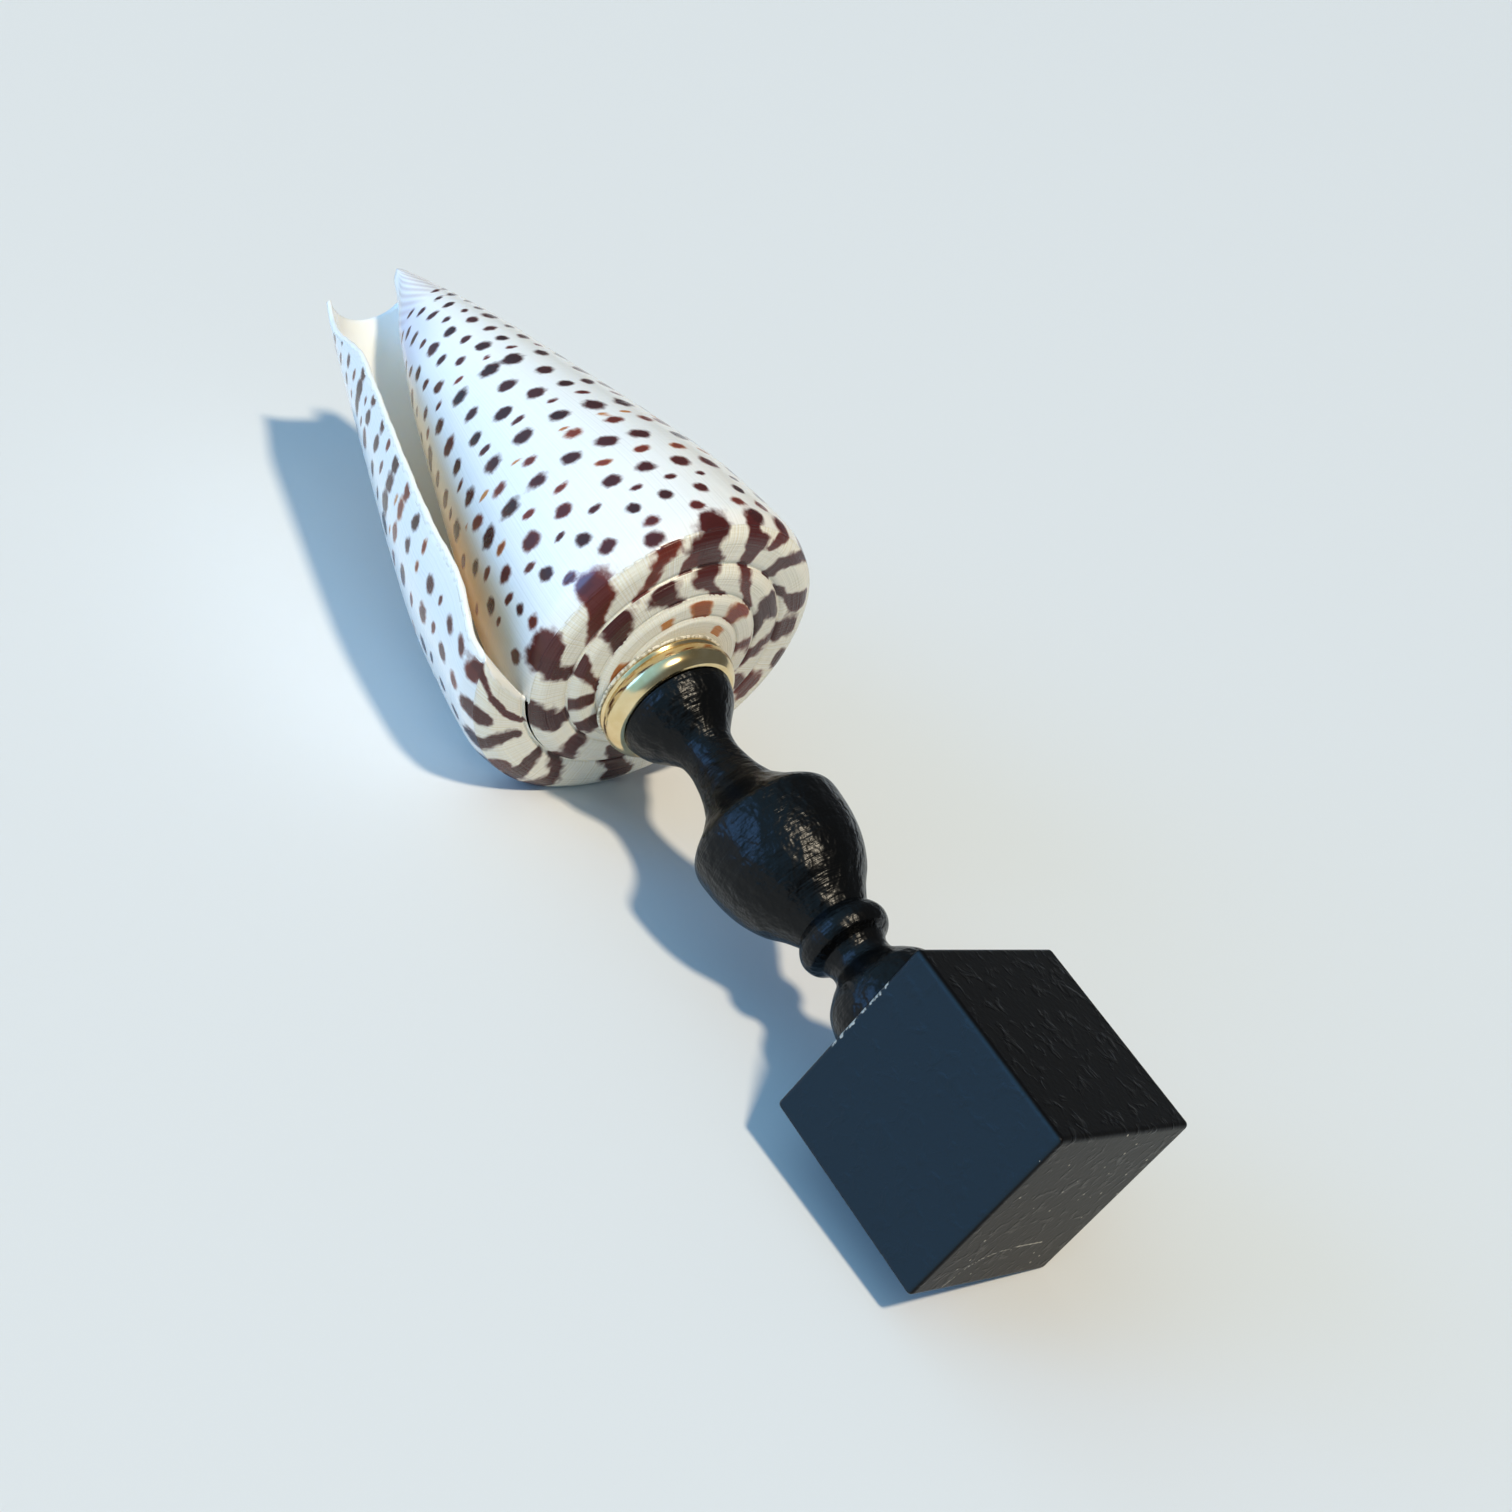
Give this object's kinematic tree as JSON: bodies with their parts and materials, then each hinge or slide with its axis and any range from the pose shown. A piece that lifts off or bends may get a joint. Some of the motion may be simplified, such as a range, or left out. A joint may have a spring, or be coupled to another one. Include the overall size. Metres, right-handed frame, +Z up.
{
  "type": "mounted cone shell",
  "caption": "Spotted cone shell fixed spire down on a turned black stem with a brass ring and a square block base, lying on its side.",
  "frame": {"origin": "centre of the bounding box's bottom, on the surface that the ornament lies on", "axes": "+Z up, X along the ornament's length with the block toward +X and the shell's narrow end toward -X"},
  "size_m": [0.2432, 0.0748, 0.0686],
  "materials": {
    "shell_white": null,
    "polished_brass": "polished",
    "black_gloss_paint": "turned wood, gloss black paint",
    "black_satin_paint": "square wood block, satin black paint, brush marks"
  },
  "bodies": {
    "root": {"shell": "shell_white", "brass_ring": "polished_brass", "stem": "black_gloss_paint", "base_block": "black_satin_paint"}
  },
  "joints": []
}
